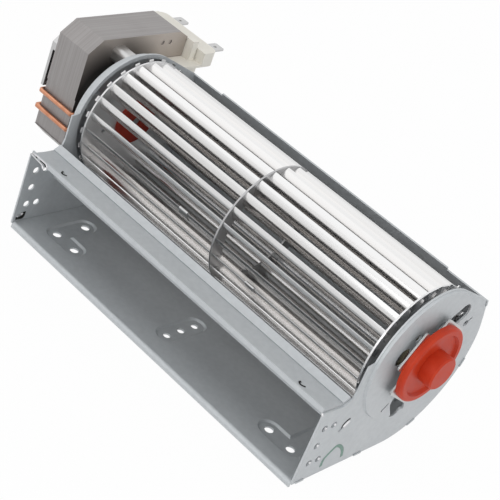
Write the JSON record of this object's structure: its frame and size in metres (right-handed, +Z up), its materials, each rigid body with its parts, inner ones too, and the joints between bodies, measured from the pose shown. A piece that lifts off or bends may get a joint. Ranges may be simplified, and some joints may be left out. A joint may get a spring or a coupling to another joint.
{
  "type": "cross flow fan",
  "caption": "Cross flow fan: curved sheet metal scroll with a wide front outlet, long bladed impeller between end plates, shaded pole motor on one end and rubber bearing bush on the other.",
  "frame": {"origin": "middle hole of the floor's centre row, on the underside of the floor's pressed pads", "axes": "+X along the rotor axis towards the bearing end, away from the motor; -Y out of the air outlet; +Z up from the mounting floor"},
  "size_m": [0.2382, 0.1161, 0.0814],
  "materials": {
    "galvanised_sheet": "satin",
    "bright_aluminium": "bright rolled",
    "red_silicone": "semi gloss",
    "plated_steel": "zinc plated",
    "ground_steel": "ground",
    "core_steel": "punched edges",
    "die_cast_zinc": "as cast",
    "copper": "bare",
    "sintered_bronze": "matt",
    "tinned_brass": "tinned",
    "cream_nylon": "matt",
    "coil_wrap": "matt tape"
  },
  "bodies": {
    "housing": {"scroll_casing": "galvanised_sheet", "motor_end_plate": "galvanised_sheet", "bearing_end_plate": "galvanised_sheet", "stabiliser": "galvanised_sheet", "bearing_bush": "red_silicone", "bush_retainer": "plated_steel", "end_bearing": "sintered_bronze", "lamination_stack": "core_steel", "coil_core": "core_steel", "front_shading_rings": "copper", "rear_shading_rings": "copper", "front_bearing_bracket": "die_cast_zinc", "rear_bearing_bracket": "die_cast_zinc", "front_motor_bearing": "sintered_bronze", "rear_motor_bearing": "sintered_bronze", "bearing_clips": "plated_steel", "motor_through_screws": "plated_steel", "motor_mount_screws": "plated_steel", "coil_bobbin": "cream_nylon", "coil_winding": "coil_wrap", "spade_terminals": "tinned_brass"},
    "rotor": {"motor_shaft": "ground_steel", "rotor_core": "core_steel", "thrust_washers": "plated_steel", "drive_hub": "red_silicone", "motor_end_disc": "bright_aluminium", "mid_ring": "bright_aluminium", "bearing_end_disc": "bright_aluminium", "impeller_blades": "bright_aluminium", "stub_shaft": "ground_steel", "balance_clips": "plated_steel"}
  },
  "joints": [
    {"name": "rotor_spin", "type": "hinge", "parent": "housing", "child": "rotor", "pos_m": [0, 0.0289, 0.0488], "axis": [1, 0, 0], "continuous": true}
  ]
}
